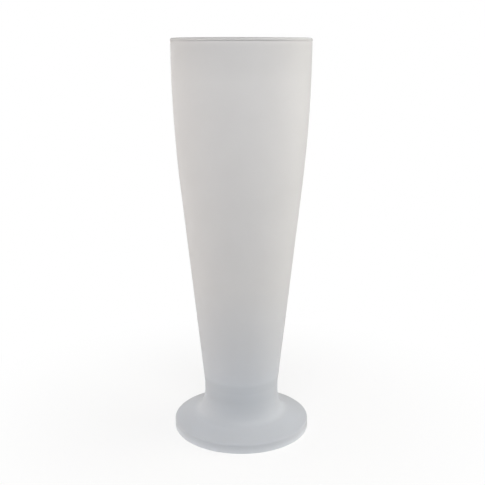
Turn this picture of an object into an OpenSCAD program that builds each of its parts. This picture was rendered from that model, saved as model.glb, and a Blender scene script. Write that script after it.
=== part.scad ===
// Tall frosted beer glass: a blown tapering bowl fused to a pressed solid foot.
// Millimetres, +Z up, origin on the table under the middle of the glass.

/* [Glass] */
// Height from the table to the lip
glass_h = 222; // [190:1:260]
// Height of the fused joint between the foot's neck and the bowl
joint_h = 27; // [26:1:40]
// Diameter of the neck, where foot and bowl meet
neck_d = 42.5; // [40:0.1:46]

/* [Bowl] */
// Outer diameter of the wall at the lip, without the lip's bead
rim_d = 75.6; // [68:0.2:88]
// Depth below the lip at which the taper, drawn on straight, would reach the lip's diameter
shoulder_drop = 41.5; // [24:0.5:60]
// Height of the straight upright band at the lip
lip_h = 4; // [4:0.5:12]
// Wall thickness at the lip
rim_wall = 2; // [1.2:0.1:3.2]
// Distance by which the lip's melted bead stands out from the wall, outside and inside
bead_out = 0.12; // [0.04:0.02:0.3]
// Radius of the hollow by which the bead runs into the wall
bead_blend_r = 2; // [1:0.5:4]
// Wall thickness that the taper reaches at the joint
base_wall = 3.2; // [1.6:0.1:5]
// Thickness of the bowl's floor above the joint
floor_t = 3.5; // [3:0.5:12]
// Radius between the floor and the wall inside
well_r = 7; // [2:0.5:10]

/* [Foot] */
// Diameter of the foot
foot_d = 78; // [74:0.5:84]
// Height of the foot's edge, where its top, drawn on straight, would meet it
edge_h = 5.2; // [4.5:0.1:6]
// Radius on the upper corner of the edge
edge_top_r = 1.3; // [0.6:0.1:3]
// Radius on the lower corner of the edge
edge_low_r = 0.4; // [0.2:0.1:1.2]
// Rise of the foot's top towards the neck, in degrees
top_slope = 19; // [12:0.5:21]
// Radius of the crease between the foot's top and the flare
crease_r = 3; // [0.5:0.1:4]
// Radius of the flare that runs from the crease up into the neck
flare_r = 19.5; // [14:0.5:20]
// Steepness of the flare where it ends in the crease, in degrees
flare_end = 55; // [52:0.5:64]
// Width of the flat ring that the foot stands on
ring_w = 6; // [3:0.5:10]
// Depth of the hollow under the foot, at its middle
hollow_h = 1.8; // [0.6:0.1:3]

/* [Hidden] */
$fn = 180;
neck_r = neck_d / 2;
rim_r = rim_d / 2;
foot_r = foot_d / 2;
shoulder_h = glass_h - shoulder_drop;
floor_h = joint_h + floor_t;
// Most that a chord may stand off the arc that it belongs to
chord_gap = 0.005;
frosted_grey = [0.80, 0.80, 0.79];
thick_grey = [0.70, 0.73, 0.74];

// Number of equal steps on an arc, from its radius and the angle that it turns
function arc_steps(r, turn) = ceil(abs(turn) / (2 * acos(1 - chord_gap / r)));

// Points on an arc about (cx, cz), from one angle to another
function arc(cx, cz, r, from, to) =
    let (steps = arc_steps(r, to - from), step = (to - from) / steps)
    [for (i = [0:steps]) [cx + r * cos(from + step * i), cz + r * sin(from + step * i)]];

// Points without the last, where the next arc starts on it
function without_last(points) = [for (i = [0:len(points) - 2]) points[i]];

// Half angle of the cone that runs from one radius at the joint to another at the shoulder
function taper(low_r, top_r) = atan2(top_r - low_r, shoulder_h - joint_h);

// Radius of that cone at a height
function cone_r(low_r, top_r, z) = low_r + (z - joint_h) * tan(taper(low_r, top_r));

// Long arc by which the cone turns upright into the lip band, tangent to both
function shoulder(low_r, top_r) =
    let (turn = taper(low_r, top_r), r = (shoulder_drop - lip_h) / tan(turn / 2))
    arc(top_r - r, glass_h - lip_h, r, -turn, 0);

// Points in the opposite order
function backwards(points) = [for (i = [len(points) - 1:-1:0]) points[i]];

// Outline of the lip: the hollow under the bead outside, the round bead, and the hollow under it inside
function lip() =
    let (
        bead_r = rim_wall / 2 + bead_out,
        bead_x = rim_r - rim_wall / 2,
        bead_z = glass_h - bead_r,
        reach = rim_wall / 2 + bead_blend_r,
        turn = acos(reach / (bead_r + bead_blend_r)),
        blend_z = bead_z - reach * tan(turn)
    )
    concat(
        without_last(arc(bead_x + reach, blend_z, bead_blend_r, 180, 180 - turn)),
        without_last(arc(bead_x, bead_z, bead_r, -turn, 180 + turn)),
        arc(bead_x - reach, blend_z, bead_blend_r, turn, 0)
    );

// Outline of the bowl: up the outside, over the lip and down to the middle of the floor
module bowl_outline() {
    inner_low_r = neck_r - base_wall;
    inner_rim_r = rim_r - rim_wall;
    lean = taper(inner_low_r, inner_rim_r);
    well_z = floor_h + well_r;
    well_x = cone_r(inner_low_r, inner_rim_r, well_z) - well_r / cos(lean);
    polygon(concat(
        [[0, joint_h], [neck_r, joint_h]],
        shoulder(neck_r, rim_r),
        lip(),
        backwards(shoulder(inner_low_r, inner_rim_r)),
        backwards(arc(well_x, well_z, well_r, -90, -lean)),
        [[0, floor_h]]
    ));
}

// Outline of the foot: hollow, standing ring and rounded edge, then sloping top, crease, flare and neck,
// each of these tangent to the next
module foot_outline() {
    ring_r = foot_r - edge_low_r - ring_w;
    hollow_r = (ring_r * ring_r + hollow_h * hollow_h) / (2 * hollow_h);
    hollow_a = asin(ring_r / hollow_r);
    corner_z = edge_h + edge_top_r * (tan(top_slope) - 1 / cos(top_slope));
    flare_x = neck_r + flare_r;
    crease_x = flare_x - (flare_r - crease_r) * sin(flare_end);
    crease_z = edge_h + (foot_r - crease_x) * tan(top_slope) + crease_r / cos(top_slope);
    flare_z = crease_z + (flare_r - crease_r) * cos(flare_end);
    polygon(concat(
        arc(0, hollow_h - hollow_r, hollow_r, 90, 90 - hollow_a),
        arc(foot_r - edge_low_r, edge_low_r, edge_low_r, -90, 0),
        arc(foot_r - edge_top_r, corner_z, edge_top_r, 0, 90 - top_slope),
        without_last(arc(crease_x, crease_z, crease_r, 270 - top_slope, 270 - flare_end)),
        arc(flare_x, flare_z, flare_r, 270 - flare_end, 180),
        [[neck_r, joint_h], [0, joint_h]]
    ));
}

// Blown shell, closed at the floor and open at the lip
module bowl() {
    color(frosted_grey) rotate_extrude() bowl_outline();
}

// Pressed solid foot with its short neck
module foot() {
    color(thick_grey) rotate_extrude() foot_outline();
}

bowl();
foot();
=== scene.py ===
import bpy
import numpy as np
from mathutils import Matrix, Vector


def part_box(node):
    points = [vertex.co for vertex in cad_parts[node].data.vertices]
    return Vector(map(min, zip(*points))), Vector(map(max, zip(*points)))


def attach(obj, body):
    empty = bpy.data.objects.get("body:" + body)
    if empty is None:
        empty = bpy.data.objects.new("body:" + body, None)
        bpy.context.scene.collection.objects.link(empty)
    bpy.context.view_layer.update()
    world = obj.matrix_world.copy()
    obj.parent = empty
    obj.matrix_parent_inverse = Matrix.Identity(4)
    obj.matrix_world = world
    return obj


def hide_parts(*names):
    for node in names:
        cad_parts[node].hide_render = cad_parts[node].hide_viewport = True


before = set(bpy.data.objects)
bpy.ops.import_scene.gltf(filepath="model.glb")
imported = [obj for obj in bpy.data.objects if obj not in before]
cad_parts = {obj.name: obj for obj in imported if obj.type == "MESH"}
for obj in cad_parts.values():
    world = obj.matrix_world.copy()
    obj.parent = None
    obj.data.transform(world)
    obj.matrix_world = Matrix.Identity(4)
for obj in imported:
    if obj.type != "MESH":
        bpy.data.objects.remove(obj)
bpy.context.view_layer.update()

# Foot: a solid lump of glass pressed in a mould, with a short neck, a wide flare and a thick rounded edge.
# An acid bath has etched it to a satin frost all over, and the crease between flare and top is soft.
# It stands on a flat ring round a shallow hollow, and the end of its neck is melted onto the bowl.
foot_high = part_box("foot")[1]
foot_radius = foot_high[0]
joint_height = foot_high[2]
neck_radius = 0.02125
foot_edge_height = 0.0052
foot_edge_top_round = 0.0013
foot_edge_low_round = 0.0004
foot_top_slope = np.radians(19)
crease_radius = 0.008
flare_radius = 0.0195
flare_height = 0.02189
standing_ring_width = 0.006
hollow_depth = 0.0018
quarter = np.pi / 2
turned_steps = 288
chord_gap = 0.000001
row_step = 0.003
sharp_angle = np.radians(40)
fused, outer = 0.0, 1.0
thick_glass_tint = (0.932, 0.953, 0.993)
thin_glass_tint = (1.000, 0.992, 0.995)
tint_heights = (0.036, 0.090)
# Level of the frost by height. It also holds painted light and shade: lighter at the standing edge and the
# crease, darker at the upper corner of the edge, the band under the lip and the lip.
frost_and_painted_light_levels = (
    (0.0010, 0.860),  # standing edge, lighter: painted light from the floor
    (0.0030, 0.728),  # side of the foot
    (0.0046, 0.662),  # upper corner of the edge, darker: painted shade
    (0.0058, 0.698),  # top of the foot
    (0.0080, 0.707),
    (0.0110, 0.730),  # crease, lighter: painted highlight
    (0.0160, 0.680),  # flare
    (0.0220, 0.683),
    (0.0260, 0.704),  # neck
    (0.0308, 0.712),
    (0.0328, 0.768),  # top of the bowl's solid floor
    (0.0500, 0.742),  # wall where it is thick
    (0.0700, 0.743),
    (0.1300, 0.756),  # wall where it is thin
    (0.1750, 0.756),
    (0.2000, 0.745),  # wall that turns upright
    (0.2170, 0.668),  # upright band under the lip, darker: painted shade
    (0.2190, 0.680),  # lip, darker than the wall: painted shade
)
# Rises of the surface at heights on the lip, with a sunk line under the bead
lip_relief = ((0.2190, 0.0), (0.2201, -0.0001), (0.2206, 0.0004))
# Middle of the relief on X, the distances from it over which the relief fades, and the share left beyond
lip_relief_middle = -0.008
lip_relief_fade = (0.014, 0.034)
lip_relief_aside = 0.3
noise_middle = (0.3, 0.7)
cloud_scale, cloud_detail, cloud_low = 45, 2, 0.975
pit_scale, pit_detail, pit_depth, pit_strength = 1400, 3, 0.00002, 0.3
etch_roughness = 0.65
etch_roughness_spread = 0.04
etch_clearness = 0.45
glass_ior = 1.5
body_colour = (0.66, 0.74, 0.80)
body_density = 25
sheen = 0.22
sheen_roughness = 0.5


def arc(x, z, radius, start, end):
    """Rows of (radius, height) on a circle about (x, z), at equal angles from start to end, in radians.

    The step is the largest whose chord stays within chord_gap of the circle: twice the arc cosine of 1 less
    chord_gap over radius.
    """
    steps = int(np.ceil(abs(end - start) / (2 * np.arccos(1 - chord_gap / radius))))
    angle = np.linspace(start, end, steps + 1)
    return np.column_stack([x + radius * np.cos(angle), z + radius * np.sin(angle)])


def line(start, end):
    """Rows of (radius, height) on the straight from start up to, but without, end, at most row_step apart."""
    start, end = np.array(start), np.array(end)
    steps = int(np.ceil(np.linalg.norm(end - start) / row_step))
    share = np.linspace(0, 1, steps, endpoint=False)[:, None]
    return (1 - share) * start + share * end


def turned(name, stretches):
    """Carries an outline round the Z axis: point i at step j lies at (r_i cos a_j, r_i sin a_j, z_i).

    stretches is a list of (rows, kind), with fused or outer as the kind. The outline starts and ends on the
    axis, and each of these two points becomes a fan about one vertex. The attribute "outer" keeps the kind of
    each face.
    """
    outline = np.concatenate([rows for rows, kind in stretches])
    kinds = np.concatenate([np.full(len(rows), kind) for rows, kind in stretches])[:-1]
    angle = np.linspace(0, 2 * np.pi, turned_steps, endpoint=False)
    r, z = outline[1:-1, 0, None], outline[1:-1, 1, None]
    rings = np.stack([r * np.cos(angle), r * np.sin(angle), z + 0 * angle], axis=-1).reshape(-1, 3)
    ends = np.array([[0, 0, outline[0, 1]], [0, 0, outline[-1, 1]]])
    bands = len(r) - 1
    first, last = len(rings), len(rings) + 1
    step = np.arange(turned_steps)
    following = (step + 1) % turned_steps
    low = np.arange(bands)[:, None] * turned_steps
    high = low + turned_steps
    quads = np.stack([low + step, low + following, high + following, high + step], axis=-1).reshape(-1, 4)
    top = bands * turned_steps
    start_fan = np.column_stack([np.full(turned_steps, first), following, step])
    end_fan = np.column_stack([top + step, top + following, np.full(turned_steps, last)])
    corners = np.concatenate([start_fan.ravel(), quads.ravel(), end_fan.ravel()])
    sizes = np.repeat([3, 4, 3], [turned_steps, len(quads), turned_steps])
    mesh = bpy.data.meshes.new(name)
    mesh.vertices.add(len(rings) + len(ends))
    mesh.vertices.foreach_set("co", np.concatenate([rings, ends]).ravel())
    mesh.loops.add(len(corners))
    mesh.loops.foreach_set("vertex_index", corners)
    mesh.polygons.add(len(sizes))
    mesh.polygons.foreach_set("loop_start", np.concatenate([[0], np.cumsum(sizes)[:-1]]))
    mesh.update(calc_edges=True)
    mesh.polygons.foreach_set("use_smooth", np.ones(len(sizes), dtype=bool))
    mesh.attributes.new("outer", "FLOAT", "FACE").data.foreach_set("value", np.repeat(kinds, turned_steps))
    mesh.set_sharp_from_angle(angle=sharp_angle)
    mesh.validate()
    piece = bpy.data.objects.new(name, mesh)
    bpy.context.collection.objects.link(piece)
    return piece


def frosted_glass(name):
    """Soda glass that an acid bath has etched pale and hazy, with its fused faces left out of sight.

    The colour is a tint, which runs with height from that of thick glass to that of thin, times the frost's
    level at that height, which also holds painted light and shade, times wide soft clouds. Fine acid pits
    vary the roughness and stand in the bump, over the relief of the lip, which is lower at the sides. The
    sheen is the pale bloom of the etch at a grazing look. The body of the glass takes a little light on its
    way, red most.
    """
    material = bpy.data.materials.new(name)
    material.use_nodes = True
    nodes, link = material.node_tree.nodes, material.node_tree.links.new
    glass = nodes["Principled BSDF"]
    place = nodes.new("ShaderNodeTexCoord").outputs["Object"]
    axes = nodes.new("ShaderNodeSeparateXYZ")
    link(place, axes.inputs[0])
    height = axes.outputs["Z"]

    def worked_out(operation, *values):
        """One step of arithmetic on sockets or plain numbers."""
        node = nodes.new("ShaderNodeMath")
        node.operation = operation
        for socket, value in zip(node.inputs, values):
            if isinstance(value, float):
                socket.default_value = value
            else:
                link(value, socket)
        return node.outputs[0]

    def ranged(value, from_low, from_high, to_low, to_high):
        """A number carried from one range to another, held at its ends."""
        node = nodes.new("ShaderNodeMapRange")
        link(value, node.inputs["Value"])
        numbers = {"From Min": from_low, "From Max": from_high, "To Min": to_low, "To Max": to_high}
        for socket, number in numbers.items():
            node.inputs[socket].default_value = number
        return node.outputs["Result"]

    def by_height(stops):
        """Straight lines through stops of (height, number): the first number plus every rise passed."""
        total = stops[0][1]
        for (low, below), (high, above) in zip(stops, stops[1:]):
            total = worked_out("ADD", total, ranged(height, low, high, 0, above - below))
        return total

    def noise(scale, detail):
        """Noise with about scale swells to the metre, and detail finer layers on them."""
        node = nodes.new("ShaderNodeTexNoise")
        link(place, node.inputs["Vector"])
        node.inputs["Scale"].default_value = scale
        node.inputs["Detail"].default_value = detail
        return node.outputs["Fac"]

    def colour_mix(blend):
        """Sockets of a node that joins two colours: the share, the first colour, the second, the result."""
        node = nodes.new("ShaderNodeMix")
        node.data_type = "RGBA"
        node.blend_type = blend
        first, second = (socket for socket in node.inputs if socket.type == "RGBA")
        return node.inputs["Factor"], first, second, next(s for s in node.outputs if s.type == "RGBA")

    def bumped(surface, distance=1, strength=1, under=None):
        """The normal with a surface's heights, in units of distance, raised on it and on any bump under."""
        node = nodes.new("ShaderNodeBump")
        link(surface, node.inputs["Height"])
        node.inputs["Distance"].default_value = distance
        node.inputs["Strength"].default_value = strength
        if under:
            link(under, node.inputs["Normal"])
        return node.outputs["Normal"]

    share, thick, thin, tint = colour_mix("MIX")
    link(ranged(height, *tint_heights, 0, 1), share)
    thick.default_value = (*thick_glass_tint, 1)
    thin.default_value = (*thin_glass_tint, 1)
    clouds = ranged(noise(cloud_scale, cloud_detail), *noise_middle, cloud_low, 1)
    # The frost's levels by height carry painted light and shade along with the frost itself.
    share, plain, frost_and_shade_veil, frost = colour_mix("MULTIPLY")
    share.default_value = 1
    link(tint, plain)
    link(worked_out("MULTIPLY", by_height(frost_and_painted_light_levels), clouds), frost_and_shade_veil)
    link(frost, glass.inputs["Base Color"])
    pits = noise(pit_scale, pit_detail)
    rough_from, rough_to = etch_roughness - etch_roughness_spread, etch_roughness + etch_roughness_spread
    link(ranged(pits, *noise_middle, rough_from, rough_to), glass.inputs["Roughness"])
    aside = worked_out("ABSOLUTE", worked_out("SUBTRACT", axes.outputs["X"], lip_relief_middle))
    fade = ranged(aside, *lip_relief_fade, 1, lip_relief_aside)
    lip_bump = bumped(worked_out("MULTIPLY", by_height(lip_relief), fade))
    link(bumped(pits, pit_depth, pit_strength, lip_bump), glass.inputs["Normal"])
    glass.inputs["Transmission Weight"].default_value = etch_clearness
    glass.inputs["IOR"].default_value = glass_ior
    glass.inputs["Sheen Weight"].default_value = sheen
    glass.inputs["Sheen Roughness"].default_value = sheen_roughness
    kind = nodes.new("ShaderNodeAttribute")
    kind.attribute_name = "outer"
    link(kind.outputs["Fac"], glass.inputs["Alpha"])
    body = nodes.new("ShaderNodeVolumeAbsorption")
    body.inputs["Color"].default_value = (*body_colour, 1)
    body.inputs["Density"].default_value = body_density
    link(body.outputs["Volume"], nodes["Material Output"].inputs["Volume"])
    return material


ring_radius = foot_radius - foot_edge_low_round - standing_ring_width
hollow_radius = (ring_radius**2 + hollow_depth**2) / (2 * hollow_depth)
hollow_half_angle = np.arcsin(ring_radius / hollow_radius)
low_x, low_z = foot_radius - foot_edge_low_round, foot_edge_low_round
corner_x = foot_radius - foot_edge_top_round
corner_z = foot_edge_height + foot_edge_top_round * (np.tan(foot_top_slope) - 1 / np.cos(foot_top_slope))
flare_x = neck_radius + flare_radius
# The crease's circle touches the flare's from inside, and its centre lies crease_radius off the sloping top.
top_under_flare = foot_edge_height + (foot_radius - flare_x) * np.tan(foot_top_slope)
flare_off_top = (flare_height - top_under_flare) * np.cos(foot_top_slope)
centres_apart = flare_radius - crease_radius
flare_end_slope = foot_top_slope + np.arccos((flare_off_top - crease_radius) / centres_apart)
crease_x = flare_x - centres_apart * np.sin(flare_end_slope)
crease_z = flare_height - centres_apart * np.cos(flare_end_slope)
crease_start, crease_end = 3 * quarter - foot_top_slope, 3 * quarter - flare_end_slope
foot_stretches = [
    (arc(0, hollow_depth - hollow_radius, hollow_radius, quarter, quarter - hollow_half_angle), outer),
    (arc(low_x, low_z, foot_edge_low_round, -quarter, 0), outer),
    (arc(corner_x, corner_z, foot_edge_top_round, 0, quarter - foot_top_slope), outer),
    (arc(crease_x, crease_z, crease_radius, crease_start, crease_end)[:-1], outer),
    (arc(flare_x, flare_height, flare_radius, crease_end, 2 * quarter), outer),
    (line((neck_radius, flare_height), (neck_radius, joint_height))[1:], outer),
    (line((neck_radius, joint_height), (0, joint_height)), fused),
    (np.array([[0, joint_height]]), fused),
]
foot = turned("glass_foot", foot_stretches)
foot.data.materials.append(frosted_glass("foot_frosted_glass"))
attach(foot, "root")
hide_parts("foot")

# Bowl: a hollow shell of glass blown in a mould, with a straight taper that turns upright at the lip.
# The lip is cut and melted in a flame, where the wall necks in and draws up into a round bead on both sides.
# The whole shell is etched to a satin frost, and its thick floor is melted onto the neck of the foot.
bowl_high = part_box("bowl")[1]
glass_height = bowl_high[2]
bead_out = 0.00012
bead_blend = 0.0004
neck_in = 0.00012
neck_in_height = 0.0012
neck_in_rows = 9
rim_radius = bowl_high[0] - bead_out
shoulder_drop = 0.0415
lip_height = 0.004
rim_wall = 0.002
base_wall = 0.0032
floor_thickness = 0.0035
well_radius = 0.007
fused_depth = 0.00002
shoulder_height = glass_height - shoulder_drop
floor_height = joint_height + floor_thickness


def taper(low_radius, top_radius):
    """Half angle of the cone from low_radius at the joint to top_radius at the shoulder."""
    return np.arctan2(top_radius - low_radius, shoulder_height - joint_height)


def wall(low_radius, top_radius, start):
    """Rows up one face of the wall from the height start: a straight cone, then an arc that turns it upright.

    The arc is tangent to the cone and to the upright lip: its radius is the tangent's length, shoulder_drop
    less lip_height, over the tangent of half the taper.
    """
    turn = taper(low_radius, top_radius)
    radius = (shoulder_drop - lip_height) / np.tan(turn / 2)
    from_here = (low_radius + (start - joint_height) * np.tan(turn), start)
    shoulder = arc(top_radius - radius, glass_height - lip_height, radius, -turn, 0)
    return np.concatenate([line(from_here, shoulder[0]), shoulder])


inner_low = neck_radius - base_wall
inner_rim = rim_radius - rim_wall
lean = taper(inner_low, inner_rim)
well_z = floor_height + well_radius
well_x = inner_low + (well_z - joint_height) * np.tan(lean) - well_radius / np.cos(lean)
well = arc(well_x, well_z, well_radius, -quarter, -lean)
inside = np.concatenate([well, wall(inner_low, inner_rim, well_z)[1:]])
bead_radius = rim_wall / 2 + bead_out
bead_x = rim_radius - rim_wall / 2
bead_z = glass_height - bead_radius
blend_reach = rim_wall / 2 - neck_in + bead_blend
blend_turn = np.arccos(blend_reach / (bead_radius + bead_blend))
blend_z = bead_z - blend_reach * np.tan(blend_turn)
# Below the bead the half wall thins by half a cosine wave, from rim_wall / 2 to neck_in less.
wave = np.linspace(0, np.pi, neck_in_rows, endpoint=False)
necking = np.column_stack([
    rim_wall / 2 - neck_in * (1 - np.cos(wave)) / 2,
    blend_z - neck_in_height * (1 - wave / np.pi),
])
half_lip = np.concatenate([
    necking,
    arc(blend_reach, blend_z, bead_blend, 2 * quarter, 2 * quarter - blend_turn)[:-1],
    arc(0, bead_z, bead_radius, -blend_turn, quarter),
])
lip = np.concatenate([half_lip, half_lip[-2::-1] * (-1, 1)]) + (bead_x, 0)
# The bowl reaches fused_depth into the foot, so that no gap shows where the two are melted together.
bowl_base = joint_height - fused_depth
bowl_stretches = [
    (line((0, bowl_base), (neck_radius, bowl_base)), fused),
    (wall(neck_radius, rim_radius, bowl_base), outer),
    (lip, outer),
    (inside[::-1], outer),
    (line((well_x, floor_height), (0, floor_height))[1:], outer),
    (np.array([[0, floor_height]]), outer),
]
bowl = turned("glass_bowl", bowl_stretches)
bowl.data.materials.append(frosted_glass("bowl_frosted_glass"))
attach(bowl, "root")
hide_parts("bowl")

# Studio: a plain pale floor that keeps the shadow of the glass and is white farther off, in a dim white room.
# Soft lamps stand at the right, at the front above the camera, and, warmer and weaker, round the left.
# The camera stands where the photograph was taken from, just below the lip and less than half a metre away.
floor_half = 3.0
floor_drop = 0.0001
floor_grey = (0.90, 0.90, 0.90)
floor_roughness = 0.9
# Share of plain white in the floor's look at the foot, and the distances over which it grows to the whole
floor_white_near = 0.78
floor_white_reach = (0.03, 0.20)
room_light_level = 0.16
white = (1, 1, 1, 1)
floor_mesh = bpy.data.meshes.new("studio_floor")
floor_corners = floor_half * np.array([(-1, -1, 0), (1, -1, 0), (1, 1, 0), (-1, 1, 0)])
floor_mesh.from_pydata(floor_corners.tolist(), [], [(0, 1, 2, 3)])
floor = bpy.data.objects.new("studio_floor", floor_mesh)
floor.location.z = -floor_drop
bpy.context.collection.objects.link(floor)


def seen_directly(tree):
    """A socket that is 1 for rays from the camera, off a gloss or through glass, and 0 for spread light."""
    rays = tree.nodes.new("ShaderNodeLightPath")
    seen = rays.outputs["Is Camera Ray"]
    for ray in ("Is Glossy Ray", "Is Transmission Ray"):
        either = tree.nodes.new("ShaderNodeMath")
        either.operation = "MAXIMUM"
        tree.links.new(seen, either.inputs[0])
        tree.links.new(rays.outputs[ray], either.inputs[1])
        seen = either.outputs[0]
    return seen


floor_paint = bpy.data.materials.new("floor_paint")
floor_paint.use_nodes = True
paint_nodes, paint_link = floor_paint.node_tree.nodes, floor_paint.node_tree.links.new
paint = paint_nodes["Principled BSDF"]
paint.inputs["Base Color"].default_value = (*floor_grey, 1)
paint.inputs["Roughness"].default_value = floor_roughness
paint.inputs["Specular IOR Level"].default_value = 0
far_white = paint_nodes.new("ShaderNodeEmission")
far_white.inputs["Color"].default_value = white
far_white.inputs["Strength"].default_value = 1
spot = paint_nodes.new("ShaderNodeTexCoord")
distance = paint_nodes.new("ShaderNodeVectorMath")
distance.operation = "LENGTH"
paint_link(spot.outputs["Object"], distance.inputs[0])
whiteness = paint_nodes.new("ShaderNodeMapRange")
whiteness.interpolation_type = "SMOOTHSTEP"
whiteness.inputs["From Min"].default_value, whiteness.inputs["From Max"].default_value = floor_white_reach
whiteness.inputs["To Min"].default_value = floor_white_near
paint_link(distance.outputs["Value"], whiteness.inputs["Value"])
seen_whiteness = paint_nodes.new("ShaderNodeMath")
seen_whiteness.operation = "MULTIPLY"
paint_link(whiteness.outputs["Result"], seen_whiteness.inputs[0])
paint_link(seen_directly(floor_paint.node_tree), seen_whiteness.inputs[1])
floor_surface = paint_nodes.new("ShaderNodeMixShader")
paint_link(seen_whiteness.outputs[0], floor_surface.inputs[0])
paint_link(paint.outputs["BSDF"], floor_surface.inputs[1])
paint_link(far_white.outputs["Emission"], floor_surface.inputs[2])
paint_link(floor_surface.outputs[0], paint_nodes["Material Output"].inputs["Surface"])
floor_mesh.materials.append(floor_paint)

scene = bpy.context.scene
room = bpy.data.worlds.new("white_room")
scene.world = room
room.use_nodes = True
room_light = room.node_tree.nodes["Background"]
room_light.inputs["Color"].default_value = white
room_level = room.node_tree.nodes.new("ShaderNodeMapRange")
room_level.inputs["To Min"].default_value = room_light_level
room.node_tree.links.new(seen_directly(room.node_tree), room_level.inputs["Value"])
room.node_tree.links.new(room_level.outputs["Result"], room_light.inputs["Strength"])


def lamp_panel(name, azimuth, reach, middle, width, height, level, colour):
    """A flat lamp turned to the glass, with its middle at an azimuth from the camera's side, in degrees.

    Its brightness is the level times that of white: the power of an evenly bright panel is pi times its area
    times the level.
    """
    lamp = bpy.data.lights.new(name, "AREA")
    lamp.shape = "RECTANGLE"
    lamp.size = width
    lamp.size_y = height
    lamp.energy = np.pi * width * height * level
    lamp.color = colour
    stand = bpy.data.objects.new(name, lamp)
    around = np.radians(azimuth)
    stand.location = (reach * np.sin(around), -reach * np.cos(around), middle)
    stand.rotation_euler = (np.arctan2(reach, middle - glass_height / 2), 0, around)
    bpy.context.collection.objects.link(stand)


lamp_panel(
    "right_panel", azimuth=95, reach=0.9, middle=0.37,
    width=1.0, height=0.7, level=3.12, colour=(1.0, 0.966, 0.895),
)
lamp_panel(
    "left_panel", azimuth=265, reach=0.9, middle=0.20,
    width=1.0, height=0.38, level=1.64, colour=(1.0, 0.88, 0.78),
)
lamp_panel(
    "left_low_panel", azimuth=270, reach=0.35, middle=0.03,
    width=0.5, height=0.06, level=3.12, colour=(1.0, 0.95, 0.90),
)
lamp_panel(
    "left_back_panel", azimuth=220, reach=0.9, middle=0.20,
    width=0.6, height=0.38, level=1.80, colour=(1.0, 0.97, 0.94),
)
lamp_panel(
    "front_panel", azimuth=0, reach=0.64, middle=0.75,
    width=0.6, height=0.6, level=5.23, colour=(1.0, 1.0, 1.0),
)

photo_side_pixels = 485
focal_pixels = 807.5
sensor_width = 36
nearest_seen = 0.01
eye_distance = 0.4429
eye_height = 0.2166
eye_across = 0.00065
look_down = np.radians(13.521)
camera_data = bpy.data.cameras.new("photo_camera")
camera_data.sensor_width = sensor_width
camera_data.lens = sensor_width * focal_pixels / photo_side_pixels
camera_data.clip_start = nearest_seen
camera = bpy.data.objects.new("photo_camera", camera_data)
camera.location = (eye_across, -eye_distance, eye_height)
camera.rotation_euler = (quarter - look_down, 0, 0)
bpy.context.collection.objects.link(camera)
scene.camera = camera
scene.view_settings.view_transform = "Standard"
